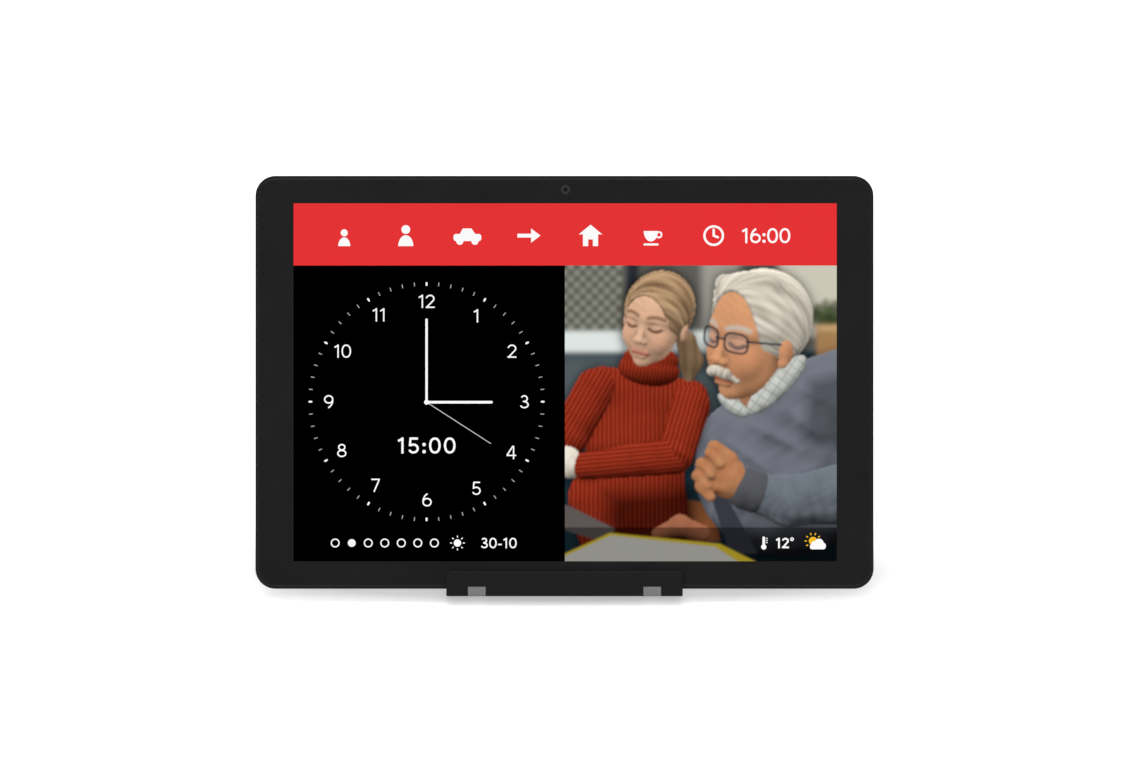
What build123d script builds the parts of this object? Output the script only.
from build123d import *
import os
from math import cos, radians, sin, sqrt, tan

# Day clock: a 10-inch-class screen in a slim tablet housing that leans in a folding easel stand.
# Millimetres. X runs along the screen, Y away from the viewer and Z up from the table. The origin
# is on the table, under the middle of the clock's outline.

os.makedirs("parts", exist_ok=True)

# ---------------------------------------------------------------- stance
lean_angle = 18.0  # degrees that the screen leans back from vertical
edge_height = 6.2  # the glass's lower front edge above the table

# ---------------------------------------------------------------- screen and housing
screen_width = 217.0
screen_height = 143.0
side_bezel = 15.0
level_bezel = 11.0  # above and below the screen
screen_shift = 0.3  # of the screen and the camera to the right of the housing's middle
corner_radius = 8.0
back_edge_radius = 5.0
front_edge = 0.35  # bevel of the rim and radius of the glass's edge
wall = 1.4
rim_width = 1.0  # of the housing, seen from the front round the glass
rim_setback = 0.1  # of the rim behind the glass
glass_gap = 0.1

# ---------------------------------------------------------------- layers behind the glass, in order
glass_thickness = 0.9
cell_thickness = 1.3
backlight_thickness = 1.8
layer_gap = 0.1
plate_thickness = 0.8
battery_thickness = 2.4
battery_gap = 0.3
gasket_thickness = 0.3
gasket_width = 1.8
cell_border = 1.6  # of the cell beyond the lit screen
cell_ledge = 1.2  # of the cell above the backlight, where its ribbon is bonded
cell_gap = 0.2

# ---------------------------------------------------------------- middle frame and its screws
frame_gap = 0.2
frame_wall = 2.0
cell_wall = 1.0
boss_radius = 2.2
screw_radius = 0.8
screw_head_radius = 1.4
screw_head_height = 0.7
screw_tip_gap = 0.5
screw_gap = 0.05
upper_screw_spread = 35.0
lower_screw_spread = 60.0
corner_screw_drop = 8.0
side_screw_level = 26.0

# ---------------------------------------------------------------- boards and what they carry
board_thickness = 0.8
board_width = 150.0
board_height = 36.0
board_clearance = 3.0
board_screw_inset = 3.5
board_screw_radius = 0.7
board_head_radius = 1.3
board_head_height = 0.5
can_widths = (44.0, 32.0, 26.0)
can_gap = 4.0
can_inset = 4.0
can_thickness = 1.4
can_corner = 1.0
can_taper = 4.0  # degrees that a can's sides lean in
sub_board_width = 24.0
sub_board_height = 28.0
sub_board_inset = 2.0
microphone_level = 10.0
microphone_width = 3.0
microphone_height = 3.8
microphone_thickness = 1.0
microphone_hole_radius = 0.5
ribbon_thickness = 0.2
display_ribbon_width = 18.0
display_ribbon_inset = 17.0  # ribbon's middle in from the main board's left end
display_ribbon_reach = 0.9
ribbon_landing = 8.0
link_ribbon_width = 6.0
link_ribbon_radius = 4.0

# ---------------------------------------------------------------- batteries and speakers
battery_split = 6.0
battery_margin = 8.0
battery_board_gap = 4.0
battery_corner = 2.0
battery_edge = 0.5
battery_flap = 7.0
battery_flap_thickness = 0.9
speaker_width = 16.0
speaker_length = 40.0
speaker_thickness = 2.1
speaker_corner = 2.0
speaker_edge = 0.5
speaker_gap = 0.3
speaker_rise = 40.5  # speaker's middle above the housing's lower edge
grille_slots = 7
grille_pitch = 5.4
grille_slot_length = 3.8
grille_slot_width = 1.2

# ---------------------------------------------------------------- camera and charging socket
camera_drop = 5.6  # lens centre below the housing's top edge
camera_size = 5.0
camera_corner = 0.6
camera_barrel_radius = 1.7
camera_gap = 0.2
camera_tab_margin = 1.5
port_depth = 5.0
port_recess = 0.4
port_gap = 0.13
shell_width = 8.94
shell_height = 3.26
shell_wall = 0.31
shell_length = 7.3
tongue_width = 6.7
tongue_height = 0.7
tongue_recess = 1.0
port_flange_reach = 2.2  # along the shell's side, its root included
port_flange_root = 0.45  # of a flange inside the shell's side
port_flange_length = 3.0
port_flange_thickness = 0.3

# ---------------------------------------------------------------- buttons in the top edge
button_width = 2.4
button_gap = 0.15
button_depth = 5.2  # button's middle behind the glass
power_place = 27.0  # button's middle in from the housing's right side
power_length = 12.0
power_travel = 0.3
rocker_place = 55.0
rocker_length = 22.0
rocker_tilt = 1.2  # degrees each way
switch_spread = 8.0  # each volume switch from the rocker's middle
flange_reach = 1.5
flange_thickness = 0.5
flange_play = 0.4
switch_height = 0.4
switch_radius = 1.1
contact_gap = 0.07
button_edge = 0.3
strip_margin = 2.0
tab_thickness = 1.2
strip_tail_width = 4.0

# ---------------------------------------------------------------- cradle of the stand
lip_width = 94.4
lip_height = 7.2  # above the glass's lower edge
lip_thickness = 2.6
lip_gap = 0.4
lip_corner = 2.0
lip_edge_radius = 0.8
underside_corner = 0.5
shelf_thickness = 2.2
seat_gap = 0.3
pad_lift = 0.4
pad_width = 7.0
pad_spacing = 70.0
pad_rise = 0.9  # of a grip pad in the lip above the glass's lower edge
pad_reach = 8.0  # of a grip pad back along the shelf
back_gap = 0.3
cushion_lift = 0.7
cushion_recess = 0.8
cushion_width = 8.0
cushion_length = 70.0
cushion_rise = 18.0
cushion_spacing = 52.0
back_plate_thickness = 3.2
back_plate_height = 104.0
back_plate_top_width = 60.0
taper_start = 16.0
plate_edge = 0.6  # bevel of the plate's rim
plate_root = 8.0  # height of the plate's foot that is one with the hook
cut_reach = 1.0  # of a cutting shape past what it cuts
back_plate_corner = 12.0
taper_radius = 30.0
rib_width = 2.0
rib_depth = 2.5
foot_block_width = 18.0
foot_block_inset = 1.5
foot_block_reach = 8.8
foot_block_height = 18.0
foot_block_slope = 9.0
foot_block_round = 2.5
foot_lift = 0.6
foot_recess = 1.0
foot_length = 14.0
foot_width = 6.0

# ---------------------------------------------------------------- hinge and prop leg
hinge_height = 92.0  # along the back plate, above the glass's lower edge
hinge_reach = 5.5  # of the axis behind the back plate
leg_angle = 17.0  # degrees that the open leg stands out from vertical
pin_radius = 1.5
pin_seat_gap = 0.03
pin_running_gap = 0.08
pin_head_radius = 2.6
pin_head_height = 1.2
pin_head_edge = 0.4
pin_tip_edge = 0.4
pin_tail = 2.0
groove_radius = 1.15
groove_width = 0.6
groove_setback = 0.2
clip_thickness = 0.5
clip_radius = 2.8
clip_gap = 0.04
clip_mouth = 1.8
washer_thickness = 0.5
washer_radius = 4.0
washer_gap = 0.1
lug_width = 6.0
lug_radius = 4.5
lug_base = 9.0  # of a lug's foot above and below the pin
lug_root = 0.5
barrel_length = 38.0
barrel_radius = 4.2
hinge_play = 0.1
leg_thickness = 5.0
leg_foot_width = 44.0
leg_rim = 2.0
leg_edge = 0.8
leg_rib = 1.6
leg_pocket_depth = 3.0
leg_pocket_rows = 3
leg_shoulder = 7.0
leg_end_margin = 7.0
stop_tail = 8.0
stop_gap = 0.25
leg_foot_height = 1.5
leg_foot_tongue = 1.8
leg_foot_tongue_width = 30.0
leg_foot_tongue_height = 2.5

# ---------------------------------------------------------------- derived sizes of the housing
tablet_width = screen_width + 2 * side_bezel
tablet_height = screen_height + 2 * level_bezel
half_width = tablet_width / 2
half_height = tablet_height / 2

backlight_front = glass_thickness + cell_thickness
plate_front = backlight_front + backlight_thickness + layer_gap
plate_rear = plate_front + plate_thickness
board_rear = plate_rear + board_thickness
floor_depth = plate_rear + battery_thickness + battery_gap
tablet_depth = floor_depth + wall
frame_front = glass_thickness + gasket_thickness


def cavity_inset(depth):
    """How far the rounded back edge narrows the cavity at a depth behind the glass."""
    inner_radius = back_edge_radius - wall
    rise = max(0.0, depth - (tablet_depth - back_edge_radius))
    return inner_radius - sqrt(max(0.0, inner_radius**2 - rise**2))


frame_half_width = half_width - wall - cavity_inset(plate_rear) - frame_gap
frame_half_height = half_height - wall - cavity_inset(plate_rear) - frame_gap
frame_corner = corner_radius - wall

cell_width = screen_width + 2 * cell_border
cell_height = screen_height + 2 * cell_border
pocket_half_width = cell_width / 2 + screen_shift + cell_gap
pocket_half_height = cell_height / 2 + cell_ledge + cell_gap

# Screws stand in the channel between the frame's outer wall and the wall round the cell.
side_channel = (pocket_half_width + cell_wall + frame_half_width - frame_wall) / 2
level_channel = (pocket_half_height + cell_wall + frame_half_height - frame_wall) / 2
corner_screw_level = level_channel - corner_screw_drop
frame_screw_points = [
    (side_channel, corner_screw_level),
    (-side_channel, corner_screw_level),
    (side_channel, -corner_screw_level),
    (-side_channel, -corner_screw_level),
    (side_channel, side_screw_level),
    (-side_channel, side_screw_level),
    (upper_screw_spread, level_channel),
    (-upper_screw_spread, level_channel),
    (lower_screw_spread, -level_channel),
    (-lower_screw_spread, -level_channel),
]

board_top = level_channel - boss_radius - board_clearance
board_bottom = board_top - board_height
display_ribbon_place = display_ribbon_inset - board_width / 2
board_screw_points = [
    (across * (board_width / 2 - board_screw_inset), level)
    for across in (-1, 1)
    for level in (board_bottom + board_screw_inset, board_top - board_screw_inset)
]
sub_board_outer = frame_half_width - sub_board_inset
sub_board_inner = sub_board_outer - sub_board_width

camera_level = half_height - camera_drop
speaker_level = speaker_rise - half_height
speaker_outer = half_width - wall - cavity_inset(plate_rear + speaker_thickness) - speaker_gap

# Heights of the button's pieces, measured up the screen from the housing's middle.
seat_level = half_height - wall - frame_gap / 2
flange_top = seat_level - flange_play
flange_bottom = flange_top - flange_thickness
switch_top = flange_bottom - power_travel - contact_gap
strip_top = switch_top - switch_height
strip_bottom = strip_top - ribbon_thickness
power_centre = half_width - power_place
rocker_centre = half_width - rocker_place
strip_start = rocker_centre - rocker_length / 2 - flange_reach - strip_margin
strip_end = power_centre + power_length / 2 + flange_reach + strip_margin
button_front = button_depth - button_width / 2
button_rear = button_depth + button_width / 2

# ---------------------------------------------------------------- derived sizes of the stand
lip_face = -(lip_gap + lip_thickness)
shelf_top = -(seat_gap + pad_lift)
underside = shelf_top - shelf_thickness
plate_face = tablet_depth + back_gap + cushion_lift
plate_back = plate_face + back_plate_thickness
block_back = plate_back + foot_block_reach
hinge_depth = plate_back + hinge_reach
lug_inner = barrel_length / 2 + hinge_play + washer_thickness
lug_outer = lug_inner + lug_width

lean = radians(lean_angle)
spread = radians(leg_angle)
up_screen = Vector(0, sin(lean), cos(lean))
out_screen = Vector(0, -cos(lean), sin(lean))
into_screen = -out_screen
down_leg = Vector(0, sin(spread), -cos(spread))
behind_leg = Vector(0, cos(spread), sin(spread))

# Places in the side view, as Y and Z from the middle of the glass's lower front edge.
hinge_offset = into_screen * hinge_depth + up_screen * hinge_height
hinge_rise = edge_height + hinge_offset.Z
leg_foot_offset = hinge_offset.Y + tan(spread) * (hinge_rise - leg_foot_height)
leg_foot_depth = leg_thickness / cos(spread)
front_reach = lip_face * cos(lean) + underside * sin(lean)
rear_reach = leg_foot_offset + leg_foot_depth / 2
heel_depth = (edge_height - foot_lift + underside * cos(lean)) / sin(lean)
heel_front = heel_depth * cos(lean) + underside * sin(lean)
block_rear = (block_back - (edge_height - foot_lift) * sin(lean)) / cos(lean)

# ---------------------------------------------------------------- shared planes and axes
edge_point = Vector(0, -(front_reach + rear_reach) / 2, edge_height)
edge_plane = Plane(origin=edge_point, x_dir=(1, 0, 0), z_dir=out_screen)
screen_plane = Plane(origin=edge_point + up_screen * half_height, x_dir=(1, 0, 0), z_dir=out_screen)
stand_side = Plane(origin=edge_point, x_dir=into_screen, z_dir=(1, 0, 0))
tablet_side = Plane(origin=screen_plane.origin, x_dir=into_screen, z_dir=(1, 0, 0))
tablet_top = Plane(origin=screen_plane.origin, x_dir=(1, 0, 0), z_dir=up_screen)
hinge_point = edge_point + hinge_offset
leg_plane = Plane(origin=hinge_point, x_dir=(1, 0, 0), z_dir=behind_leg)
hinge_side = Plane(origin=hinge_point, x_dir=into_screen, z_dir=(1, 0, 0))
depth_axis = Axis(edge_point, into_screen)
level_axis = Axis(edge_point, up_screen)

pieces = {}


def behind_glass(depth):
    """The plane parallel to the screen, centred on the housing, at a depth behind the glass."""
    return screen_plane.offset(-depth)


def stand_behind(depth):
    """The same, with its origin level with the glass's lower edge."""
    return edge_plane.offset(-depth)


# ================================================================ tablet: housing
with BuildPart() as rear_cover:
    with BuildSketch(behind_glass(rim_setback)):
        RectangleRounded(tablet_width, tablet_height, corner_radius)
    extrude(amount=-(tablet_depth - rim_setback))
    fillet(rear_cover.faces().sort_by(depth_axis)[-1].edges(), back_edge_radius)
    offset(amount=-wall, openings=rear_cover.faces().sort_by(depth_axis)[0])
    # Rebate that the glass drops into.
    with BuildSketch(behind_glass(rim_setback)):
        RectangleRounded(
            tablet_width - 2 * rim_width, tablet_height - 2 * rim_width, corner_radius - rim_width
        )
    extrude(amount=-(glass_thickness + glass_gap - rim_setback), mode=Mode.SUBTRACT)
    chamfer(rear_cover.faces().sort_by(depth_axis)[0].outer_wire().edges(), front_edge)
    # Bosses that take the frame's screws.
    with BuildSketch(behind_glass(plate_rear)):
        with Locations(*frame_screw_points):
            Circle(boss_radius)
    extrude(amount=-(floor_depth - plate_rear + wall / 2))
    with BuildSketch(behind_glass(plate_rear)):
        with Locations(*frame_screw_points):
            Circle(screw_radius + screw_gap)
    extrude(amount=-(floor_depth - plate_rear - screw_tip_gap / 2), mode=Mode.SUBTRACT)
    # Charging port and microphone hole in the right side.
    with BuildSketch(tablet_side.offset(half_width)):
        with Locations((port_depth, 0)):
            SlotOverall(shell_width + 2 * port_gap, shell_height + 2 * port_gap, rotation=90)
        with Locations((board_rear + microphone_thickness / 2, microphone_level)):
            Circle(microphone_hole_radius)
    extrude(amount=-2 * back_edge_radius, mode=Mode.SUBTRACT)
    # Speaker slots in both sides.
    with BuildSketch(tablet_side):
        with Locations((plate_rear + speaker_thickness / 2, speaker_level)):
            with GridLocations(1, grille_pitch, 1, grille_slots):
                SlotOverall(grille_slot_length, grille_slot_width, rotation=90)
    extrude(amount=half_width, both=True, mode=Mode.SUBTRACT)
    # Slots for the buttons, each with a flat seat behind the wall for the button's flange.
    for centre, length in ((power_centre, power_length), (rocker_centre, rocker_length)):
        with BuildSketch(tablet_top.offset(half_height)):
            with Locations((centre, button_depth)):
                SlotOverall(length + 2 * button_gap, button_width + 2 * button_gap)
        extrude(amount=-back_edge_radius, mode=Mode.SUBTRACT)
        with BuildSketch(tablet_top.offset(seat_level)):
            with Locations((centre, button_depth)):
                Rectangle(
                    length + 2 * (flange_reach + 2 * button_gap), button_width + 2 * button_gap
                )
        extrude(amount=-back_edge_radius, mode=Mode.SUBTRACT)
pieces["rear_cover"] = rear_cover

with BuildPart() as cover_glass:
    glass_inset = rim_width + glass_gap
    with BuildSketch(behind_glass(0)):
        RectangleRounded(
            tablet_width - 2 * glass_inset, tablet_height - 2 * glass_inset, corner_radius - glass_inset
        )
    extrude(amount=-glass_thickness)
    fillet(cover_glass.faces().sort_by(depth_axis)[0].edges(), front_edge)
pieces["cover_glass"] = cover_glass

with BuildPart() as glass_gasket:
    with BuildSketch(behind_glass(glass_thickness)):
        RectangleRounded(2 * frame_half_width, 2 * frame_half_height, frame_corner)
        offset(amount=-gasket_width, mode=Mode.SUBTRACT)
    extrude(amount=-gasket_thickness)
pieces["glass_gasket"] = glass_gasket

# ================================================================ tablet: display
with BuildPart() as lcd_cell:
    with BuildSketch(behind_glass(glass_thickness)):
        with Locations((screen_shift, cell_ledge / 2)):
            Rectangle(cell_width, cell_height + cell_ledge)
    extrude(amount=-cell_thickness)
pieces["lcd_cell"] = lcd_cell

with BuildPart() as backlight_unit:
    with BuildSketch(behind_glass(backlight_front)):
        with Locations((screen_shift, 0)):
            Rectangle(cell_width, cell_height)
    extrude(amount=-backlight_thickness)
    chamfer(backlight_unit.faces().sort_by(depth_axis)[-1].edges(), layer_gap)
pieces["backlight_unit"] = backlight_unit

# Ribbon from the cell's ledge, back through the frame's slot and down onto the main board.
ribbon_top = cell_height / 2 + cell_ledge + display_ribbon_reach
with BuildPart() as display_flex:
    with BuildSketch(tablet_side.offset(display_ribbon_place)):
        with BuildLine():
            FilletPolyline(
                (backlight_front + ribbon_thickness / 2, cell_height / 2 + cell_gap),
                (backlight_front + ribbon_thickness / 2, ribbon_top),
                (board_rear + ribbon_thickness / 2, ribbon_top),
                (board_rear + ribbon_thickness / 2, board_top - ribbon_landing),
                radius=2 * ribbon_thickness,
            )
        trace(line_width=ribbon_thickness)
    extrude(amount=display_ribbon_width / 2, both=True)
pieces["display_flex"] = display_flex

# ================================================================ tablet: middle frame
with BuildPart() as mid_frame:
    with BuildSketch(behind_glass(frame_front)):
        RectangleRounded(2 * frame_half_width, 2 * frame_half_height, frame_corner)
    extrude(amount=-(plate_rear - frame_front))
    # Channel round the cell, and the pocket that holds the cell and its backlight.
    with BuildSketch(behind_glass(frame_front)):
        RectangleRounded(2 * frame_half_width, 2 * frame_half_height, frame_corner)
        offset(amount=-frame_wall, mode=Mode.INTERSECT)
        Rectangle(
            2 * (pocket_half_width + cell_wall), 2 * (pocket_half_height + cell_wall), mode=Mode.SUBTRACT
        )
        Rectangle(2 * pocket_half_width, 2 * pocket_half_height)
    extrude(amount=-(plate_front - frame_front), mode=Mode.SUBTRACT)
    # Tab behind the top edge that backs the buttons' switches.
    with BuildSketch(behind_glass(plate_rear)):
        with Locations(((strip_start + strip_end) / 2, strip_bottom - tab_thickness / 2)):
            Rectangle(strip_end - strip_start, tab_thickness)
    extrude(amount=-(button_rear + button_gap - plate_rear))
    # Notch in the outer wall that clears the buttons and their strip.
    with BuildSketch(tablet_top.offset(strip_bottom)):
        with Locations(((strip_start - strip_tail_width + strip_end) / 2, button_depth)):
            Rectangle(
                strip_end - strip_start + strip_tail_width + 2 * strip_margin,
                button_width + 4 * button_gap,
            )
    extrude(amount=2 * frame_wall, mode=Mode.SUBTRACT)
    # Openings for the camera, the display ribbon and the charging socket.
    with BuildSketch(behind_glass(frame_front)):
        with Locations((screen_shift, camera_level)):
            Rectangle(camera_size + 2 * camera_gap, camera_size + 2 * camera_gap)
        with Locations((display_ribbon_place, ribbon_top)):
            Rectangle(display_ribbon_width + 2 * cell_gap, 2 * display_ribbon_reach)
        with Locations((half_width - port_recess - shell_length - camera_gap, 0)):
            Rectangle(
                2 * shell_length, shell_width + 4 * camera_gap, align=(Align.MIN, Align.CENTER)
            )
    extrude(amount=-(plate_rear - frame_front), mode=Mode.SUBTRACT)
    with BuildSketch(behind_glass(plate_front)):
        with Locations(*frame_screw_points):
            Circle(screw_radius + screw_gap)
        with Locations(*board_screw_points):
            Circle(board_screw_radius + screw_gap)
    extrude(amount=-plate_thickness, mode=Mode.SUBTRACT)
pieces["mid_frame"] = mid_frame

with BuildPart() as frame_screws:
    with BuildSketch(behind_glass(plate_front)):
        with Locations(*frame_screw_points):
            Circle(screw_head_radius)
    extrude(amount=screw_head_height)
    with BuildSketch(behind_glass(plate_front)):
        with Locations(*frame_screw_points):
            Circle(screw_radius)
    extrude(amount=-(floor_depth - plate_front - screw_tip_gap))
pieces["frame_screws"] = frame_screws

# ================================================================ tablet: batteries
battery_outer = sub_board_inner - battery_margin
battery_top = board_bottom - battery_board_gap
battery_bottom = -(level_channel - boss_radius - battery_margin)
battery_width = battery_outer - battery_split / 2
battery_height = battery_top - battery_bottom
for side, across in (("left", -1), ("right", 1)):
    with BuildPart() as battery:
        with BuildSketch(behind_glass(plate_rear)):
            with Locations(
                (
                    across * (battery_outer + battery_split / 2) / 2,
                    (battery_bottom + battery_top - battery_flap) / 2,
                )
            ):
                RectangleRounded(battery_width, battery_height - battery_flap, battery_corner)
        extrude(amount=-battery_thickness)
        chamfer(battery.faces().sort_by(depth_axis)[-1].edges(), battery_edge)
        with BuildSketch(behind_glass(plate_rear)):
            with Locations(
                (across * (battery_outer + battery_split / 2) / 2, battery_top - battery_flap)
            ):
                Rectangle(
                    battery_width - 2 * battery_corner, battery_flap, align=(Align.CENTER, Align.MIN)
                )
        extrude(amount=-battery_flap_thickness)
    pieces[f"battery_{side}"] = battery

# ================================================================ tablet: boards
with BuildPart() as main_board:
    with BuildSketch(behind_glass(plate_rear)):
        with Locations((0, (board_top + board_bottom) / 2)):
            RectangleRounded(board_width, board_height, battery_corner)
        with Locations((screen_shift, board_bottom)):
            Rectangle(
                camera_size + 2 * camera_tab_margin,
                camera_level + camera_size / 2 + camera_gap - board_bottom,
                align=(Align.CENTER, Align.MIN),
            )
        with Locations(*board_screw_points):
            Circle(board_screw_radius + screw_gap, mode=Mode.SUBTRACT)
    extrude(amount=-board_thickness)
pieces["main_board"] = main_board

can_span = sum(can_widths) + can_gap * (len(can_widths) - 1)
can_height = board_height - 2 * can_inset - ribbon_landing
with BuildPart() as shield_cans:
    start = -can_span / 2
    for can_width in can_widths:
        with BuildSketch(behind_glass(board_rear)):
            with Locations((start + can_width / 2, board_bottom + can_inset + can_height / 2)):
                RectangleRounded(can_width, can_height, can_corner)
        extrude(amount=-can_thickness, taper=can_taper)
        start += can_width + can_gap
pieces["shield_cans"] = shield_cans

with BuildPart() as board_screws:
    with BuildSketch(behind_glass(board_rear)):
        with Locations(*board_screw_points):
            Circle(board_head_radius)
    extrude(amount=-board_head_height)
    with BuildSketch(behind_glass(board_rear)):
        with Locations(*board_screw_points):
            Circle(board_screw_radius)
    extrude(amount=board_thickness + plate_thickness / 2)
pieces["board_screws"] = board_screws

with BuildPart() as sub_board:
    with BuildSketch(behind_glass(plate_rear)):
        with Locations((sub_board_outer, 0)):
            Rectangle(sub_board_width, sub_board_height, align=(Align.MAX, Align.CENTER))
        with Locations((half_width - port_recess - shell_length - port_gap, 0)):
            Rectangle(
                shell_length,
                shell_width + 2 * port_gap,
                align=(Align.MIN, Align.CENTER),
                mode=Mode.SUBTRACT,
            )
    extrude(amount=-board_thickness)
pieces["sub_board"] = sub_board

with BuildPart() as microphone:
    with BuildSketch(behind_glass(board_rear)):
        with Locations((sub_board_outer - microphone_width, microphone_level)):
            Rectangle(microphone_width, microphone_height)
    extrude(amount=-microphone_thickness)
pieces["microphone"] = microphone

# Ribbon that joins the two boards, flat on their rear faces.
link_column = sub_board_inner + link_ribbon_width
link_row = (board_top + board_bottom) / 2
with BuildPart() as link_flex:
    with BuildSketch(behind_glass(board_rear)):
        with BuildLine():
            FilletPolyline(
                (board_width / 2 - link_ribbon_width, link_row),
                (link_column, link_row),
                (link_column, sub_board_height / 2 - link_ribbon_width),
                radius=link_ribbon_radius,
            )
        trace(line_width=link_ribbon_width)
    extrude(amount=-ribbon_thickness)
pieces["link_flex"] = link_flex

# ================================================================ tablet: charging socket
with BuildPart() as usb_c_socket:
    mouth = tablet_side.offset(half_width - port_recess)
    with BuildSketch(mouth):
        with Locations((port_depth, 0)):
            SlotOverall(shell_width, shell_height, rotation=90)
            SlotOverall(
                shell_width - 2 * shell_wall,
                shell_height - 2 * shell_wall,
                rotation=90,
                mode=Mode.SUBTRACT,
            )
    extrude(amount=-shell_length)
    with BuildSketch(mouth.offset(-shell_length)):
        with Locations((port_depth, 0)):
            SlotOverall(shell_width, shell_height, rotation=90)
    extrude(amount=shell_wall)
    with BuildSketch(mouth.offset(-shell_length + shell_wall)):
        with Locations((port_depth, 0)):
            Rectangle(tongue_height, tongue_width)
    extrude(amount=shell_length - shell_wall - tongue_recess)
    # Flanges that rest on the sub-board on both sides of its notch.
    with BuildSketch(behind_glass(board_rear)):
        for across in (-1, 1):
            with Locations(
                (
                    half_width - port_recess - shell_length / 2,
                    across * (shell_width / 2 - port_flange_root + port_flange_reach / 2),
                )
            ):
                Rectangle(port_flange_length, port_flange_reach)
    extrude(amount=-port_flange_thickness)
pieces["usb_c_socket"] = usb_c_socket

# ================================================================ tablet: camera and speakers
with BuildPart() as front_camera:
    with BuildSketch(behind_glass(backlight_front + layer_gap)):
        with Locations((screen_shift, camera_level)):
            RectangleRounded(camera_size, camera_size, camera_corner)
    extrude(amount=-(plate_rear - backlight_front - layer_gap))
    with BuildSketch(behind_glass(backlight_front + layer_gap)):
        with Locations((screen_shift, camera_level)):
            Circle(camera_barrel_radius)
    extrude(amount=cell_thickness)
pieces["front_camera"] = front_camera

for side, across in (("left", -1), ("right", 1)):
    with BuildPart() as speaker:
        with BuildSketch(behind_glass(plate_rear)):
            with Locations((across * (speaker_outer - speaker_width / 2), speaker_level)):
                RectangleRounded(speaker_width, speaker_length, speaker_corner)
        extrude(amount=-speaker_thickness)
        chamfer(speaker.faces().sort_by(depth_axis)[-1].edges(), speaker_edge)
    pieces[f"speaker_{side}"] = speaker

# ================================================================ tablet: buttons
button_caps = (
    ("power_button", power_centre, power_length, (0.0,)),
    ("volume_rocker", rocker_centre, rocker_length, (-switch_spread, switch_spread)),
)
for name, centre, length, contacts in button_caps:
    with BuildPart() as button:
        with BuildSketch(tablet_top.offset(flange_top)):
            with Locations((centre, button_depth)):
                SlotOverall(length, button_width)
        extrude(amount=half_height - flange_top)
        chamfer(button.faces().sort_by(level_axis)[-1].edges(), button_edge)
        with BuildSketch(tablet_top.offset(flange_bottom)):
            with Locations((centre, button_depth)):
                SlotOverall(length + 2 * flange_reach, button_width)
        extrude(amount=flange_thickness)
        if len(contacts) > 1:
            swing = switch_spread * sin(radians(rocker_tilt))
            with BuildSketch(tablet_top.offset(flange_bottom)):
                with Locations(*[(centre + contact, button_depth) for contact in contacts]):
                    Circle(switch_radius / 2)
            extrude(amount=-(power_travel - swing))
    pieces[name] = button

with BuildPart() as button_flex:
    with BuildSketch(tablet_top.offset(strip_bottom)):
        with Locations(((strip_start - strip_tail_width + strip_end) / 2, button_depth)):
            Rectangle(strip_end - strip_start + strip_tail_width, button_width)
    extrude(amount=ribbon_thickness)
    with BuildSketch(tablet_top.offset(strip_top)):
        for name, centre, length, contacts in button_caps:
            with Locations(*[(centre + contact, button_depth) for contact in contacts]):
                Circle(switch_radius)
    extrude(amount=switch_height)
    # Tail that hangs down from the strip onto the main board.
    with BuildSketch(behind_glass(board_rear)):
        with Locations((strip_start, board_top - ribbon_landing)):
            Rectangle(
                strip_tail_width,
                strip_top - board_top + ribbon_landing,
                align=(Align.MAX, Align.MIN),
            )
    extrude(amount=-ribbon_thickness)
pieces["button_flex"] = button_flex

# ================================================================ stand: cradle
lug_places = (-lug_outer, lug_inner)
block_outer = lip_width / 2 - foot_block_inset
block_middle = block_outer - foot_block_width / 2
foot_middle = edge_point.Y + (heel_front + block_rear) / 2
foot_places = {"left": (-block_middle, foot_middle), "right": (block_middle, foot_middle)}
pad_places = {"left": -pad_spacing / 2, "right": pad_spacing / 2}
cushion_middle = cushion_rise + cushion_length / 2
cushion_places = {
    "left": (-cushion_spacing / 2, cushion_middle),
    "right": (cushion_spacing / 2, cushion_middle),
}
half_lip = lip_width / 2
half_top = back_plate_top_width / 2
plate_outline = (
    (-half_lip, shelf_top),
    (-half_lip, taper_start),
    (-half_top, back_plate_height),
    (half_top, back_plate_height),
    (half_lip, taper_start),
    (half_lip, shelf_top),
)
plate_rounds = (0, taper_radius, back_plate_corner, back_plate_corner, taper_radius, 0)

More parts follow.
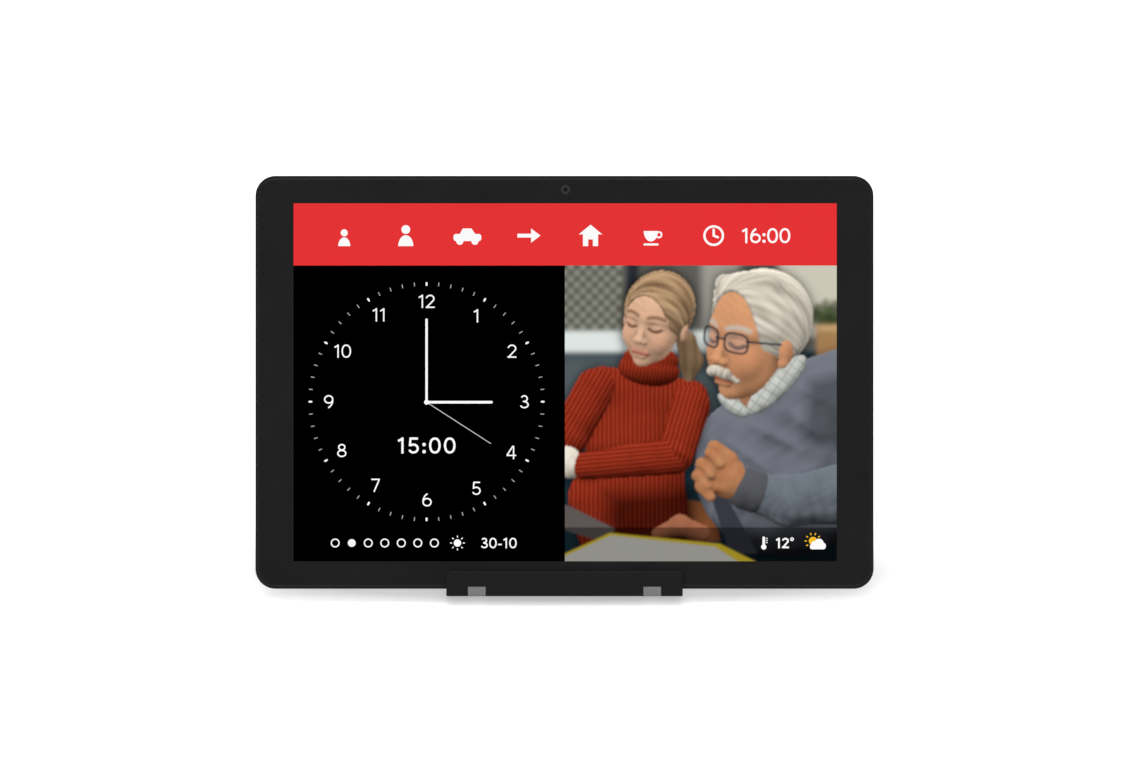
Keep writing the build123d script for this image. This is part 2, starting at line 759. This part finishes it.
with BuildPart() as cradle:
    # Hook that holds the tablet's lower edge: lip, shelf and the foot of the back plate.
    with BuildSketch(stand_side):
        with BuildLine():
            FilletPolyline(
                (lip_face, underside),
                (lip_face, lip_height),
                (-lip_gap, lip_height),
                (-lip_gap, shelf_top),
                (plate_face, shelf_top),
                (plate_face, plate_root),
                (plate_back, plate_root),
                (plate_back, underside),
                radius=(0, 0, 0, lip_edge_radius, lip_edge_radius, 0, 0, 0),
                close=True,
            )
        make_face()
    extrude(amount=half_lip, both=True)
    lengthwise = cradle.edges().filter_by(depth_axis)
    fillet(lengthwise.group_by(depth_axis)[0], lip_corner)
    lengthwise = cradle.edges().filter_by(depth_axis)
    fillet(lengthwise.group_by(level_axis)[0], underside_corner)
    fillet(cradle.faces().sort_by(depth_axis)[0].edges(), lip_edge_radius)
    # Back plate with a stiffening rim and two ribs behind it.
    with BuildSketch(stand_behind(plate_face)):
        with BuildLine():
            FilletPolyline(*plate_outline, radius=plate_rounds, close=True)
        make_face()
    extrude(amount=-back_plate_thickness)
    with BuildSketch(stand_behind(plate_back)):
        with BuildLine():
            FilletPolyline(*plate_outline, radius=plate_rounds, close=True)
        make_face()
        offset(amount=-rib_width, mode=Mode.SUBTRACT)
        with Locations(*[(place + lug_width / 2, shelf_top) for place in lug_places]):
            Rectangle(rib_width, hinge_height - shelf_top, align=(Align.CENTER, Align.MIN))
    extrude(amount=-rib_depth)
    chamfer(cradle.faces().sort_by(depth_axis)[-1].outer_wire().edges(), plate_edge)
    # Lugs of the hinge.
    for place in lug_places:
        with BuildSketch(hinge_side.offset(place)):
            Circle(lug_radius)
            with Locations((-hinge_reach, 0)):
                Rectangle(lug_root, 2 * lug_base, align=(Align.MIN, Align.CENTER))
            make_hull()
        extrude(amount=lug_width)
    # Blocks that carry the front feet, one at each side of the folded leg.
    for foot_x, foot_y in foot_places.values():
        with BuildSketch(stand_side.offset(foot_x - foot_block_width / 2)):
            with BuildLine():
                FilletPolyline(
                    (plate_face, foot_block_height),
                    (plate_back, foot_block_height),
                    (block_back, foot_block_height - foot_block_slope),
                    (block_back, -foot_block_height),
                    (plate_face, -foot_block_height),
                    radius=(0, 0, foot_block_round, 0, 0),
                    close=True,
                )
            make_face()
        extrude(amount=foot_block_width)
    split(bisect_by=Plane.XY.offset(foot_lift), keep=Keep.TOP)
    # Seats for the pin, the grip pads, the cushions and the front feet.
    with BuildSketch(hinge_side):
        Circle(pin_radius + pin_seat_gap)
    extrude(amount=lug_outer, both=True, mode=Mode.SUBTRACT)
    for place in pad_places.values():
        with BuildSketch(stand_side.offset(place - pad_width / 2)):
            with BuildLine():
                Polyline(
                    (lip_face - cut_reach, underside - cut_reach),
                    (lip_face - cut_reach, pad_rise),
                    (-lip_gap, pad_rise),
                    (-lip_gap, shelf_top + lip_edge_radius),
                    (pad_reach, shelf_top + lip_edge_radius),
                    (pad_reach, underside - cut_reach),
                    close=True,
                )
            make_face()
        extrude(amount=pad_width, mode=Mode.SUBTRACT)
    with BuildSketch(stand_behind(plate_face)):
        with Locations(*cushion_places.values()):
            SlotOverall(cushion_length, cushion_width, rotation=90)
    extrude(amount=-cushion_recess, mode=Mode.SUBTRACT)
    with BuildSketch(Plane.XY.offset(foot_lift)):
        with Locations(*foot_places.values()):
            SlotOverall(foot_length, foot_width)
    extrude(amount=foot_recess, mode=Mode.SUBTRACT)
pieces["cradle"] = cradle

# ================================================================ stand: soft pieces
for side, place in pad_places.items():
    with BuildPart() as grip_pad:
        with BuildSketch(stand_side.offset(place - pad_width / 2)):
            with BuildLine():
                FilletPolyline(
                    (lip_face, underside),
                    (lip_face, pad_rise),
                    (-lip_gap, pad_rise),
                    (-lip_gap, -seat_gap),
                    (pad_reach, -seat_gap),
                    (pad_reach, underside),
                    radius=(lip_edge_radius, 0, 0, 0, 0, 0),
                    close=True,
                )
            make_face()
        extrude(amount=pad_width)
    pieces[f"grip_pad_{side}"] = grip_pad

for side, place in cushion_places.items():
    with BuildPart() as cushion:
        with BuildSketch(stand_behind(plate_face - cushion_lift)):
            with Locations(place):
                SlotOverall(cushion_length, cushion_width, rotation=90)
        extrude(amount=-(cushion_lift + cushion_recess))
        chamfer(cushion.faces().sort_by(depth_axis)[0].edges(), cushion_lift / 2)
    pieces[f"back_cushion_{side}"] = cushion

for side, place in foot_places.items():
    with BuildPart() as front_foot:
        with BuildSketch(Plane.XY):
            with Locations(place):
                SlotOverall(foot_length, foot_width)
        extrude(amount=foot_lift + foot_recess)
        chamfer(front_foot.faces().sort_by(Axis.Z)[0].edges(), foot_lift / 2)
    pieces[f"front_foot_{side}"] = front_foot

# ================================================================ stand: hinge
with BuildPart() as hinge_pin:
    with BuildSketch(hinge_side.offset(-lug_outer - pin_tail)):
        Circle(pin_radius)
    extrude(amount=2 * lug_outer + pin_tail)
    with BuildSketch(hinge_side.offset(lug_outer)):
        Circle(pin_head_radius)
    extrude(amount=pin_head_height)
    chamfer(hinge_pin.faces().sort_by(Axis.X)[-1].edges(), pin_head_edge)
    with BuildSketch(hinge_side.offset(-lug_outer - groove_setback)):
        Circle(pin_radius)
        Circle(groove_radius, mode=Mode.SUBTRACT)
    extrude(amount=-groove_width, mode=Mode.SUBTRACT)
    chamfer(hinge_pin.faces().sort_by(Axis.X)[0].edges(), pin_tip_edge)
pieces["hinge_pin"] = hinge_pin

with BuildPart() as pin_clip:
    with BuildSketch(hinge_side.offset(-lug_outer - groove_setback - clip_gap)):
        Circle(clip_radius)
        Circle(groove_radius + clip_gap, mode=Mode.SUBTRACT)
        Rectangle(clip_mouth, clip_radius, align=(Align.CENTER, Align.MAX), mode=Mode.SUBTRACT)
    extrude(amount=-clip_thickness)
pieces["pin_clip"] = pin_clip

with BuildPart() as hinge_washers:
    for place in (-lug_inner, lug_inner - washer_thickness):
        with BuildSketch(hinge_side.offset(place)):
            Circle(washer_radius)
            Circle(pin_radius + washer_gap, mode=Mode.SUBTRACT)
        extrude(amount=washer_thickness)
pieces["hinge_washers"] = hinge_washers

# ================================================================ stand: prop leg
leg_length = hinge_rise / cos(spread)
half_barrel = barrel_length / 2
half_foot = leg_foot_width / 2
leg_foot_middle = (0, edge_point.Y + leg_foot_offset)
with BuildPart() as prop_leg:
    with BuildSketch(leg_plane):
        with BuildLine():
            Polyline(
                (-half_barrel, -stop_tail),
                (half_barrel, -stop_tail),
                (half_barrel, leg_shoulder),
                (half_foot, leg_length + leg_thickness),
                (-half_foot, leg_length + leg_thickness),
                (-half_barrel, leg_shoulder),
                close=True,
            )
        make_face()
    extrude(amount=leg_thickness / 2, both=True)
    fillet(prop_leg.faces().sort_by(Axis(hinge_point, behind_leg))[-1].edges(), leg_edge)
    with BuildSketch(hinge_side.offset(-half_barrel)):
        Circle(barrel_radius)
    extrude(amount=barrel_length)
    # Pockets in the hidden face leave a rim, a spine and rungs.
    with BuildSketch(leg_plane.offset(-leg_thickness / 2)):
        pocket_end = leg_length - leg_end_margin
        rung_pitch = (pocket_end - leg_shoulder + leg_rib) / leg_pocket_rows
        with BuildLine():
            Polyline(
                (leg_rim - half_barrel, leg_shoulder),
                (half_barrel - leg_rim, leg_shoulder),
                (half_foot - leg_rim, pocket_end),
                (leg_rim - half_foot, pocket_end),
                close=True,
            )
        make_face()
        with Locations((0, leg_length / 2)):
            Rectangle(leg_rib, leg_length, mode=Mode.SUBTRACT)
        with Locations(
            *[(0, leg_shoulder + row * rung_pitch - leg_rib / 2) for row in range(1, leg_pocket_rows)]
        ):
            Rectangle(leg_foot_width, leg_rib, mode=Mode.SUBTRACT)
    extrude(amount=leg_pocket_depth, mode=Mode.SUBTRACT)
    # The tail's stop face lies along the back plate when the leg is open.
    stop_plane = Plane(
        origin=edge_point + into_screen * (plate_back + stop_gap), x_dir=(1, 0, 0), z_dir=into_screen
    )
    split(bisect_by=stop_plane, keep=Keep.TOP)
    split(bisect_by=Plane.XY.offset(leg_foot_height), keep=Keep.TOP)
    with BuildSketch(hinge_side):
        Circle(pin_radius + pin_running_gap)
    extrude(amount=barrel_length, both=True, mode=Mode.SUBTRACT)
    with BuildSketch(Plane.XY.offset(leg_foot_height)):
        with Locations(leg_foot_middle):
            Rectangle(leg_foot_tongue_width, leg_foot_tongue)
    extrude(amount=leg_foot_tongue_height, mode=Mode.SUBTRACT)
pieces["prop_leg"] = prop_leg

with BuildPart() as leg_foot:
    with BuildSketch(Plane.XY):
        with Locations(leg_foot_middle):
            Rectangle(leg_foot_width - leg_rim / 2, leg_foot_depth)
    extrude(amount=leg_foot_height)
    fillet(leg_foot.edges().filter_by(Axis.Z), leg_foot_height / 2)
    with BuildSketch(Plane.XY.offset(leg_foot_height)):
        with Locations(leg_foot_middle):
            Rectangle(leg_foot_tongue_width, leg_foot_tongue)
    extrude(amount=leg_foot_tongue_height)
pieces["leg_foot"] = leg_foot

for name, piece in pieces.items():
    piece.part.label = name
    export_step(piece.part, f"parts/{name}.step")
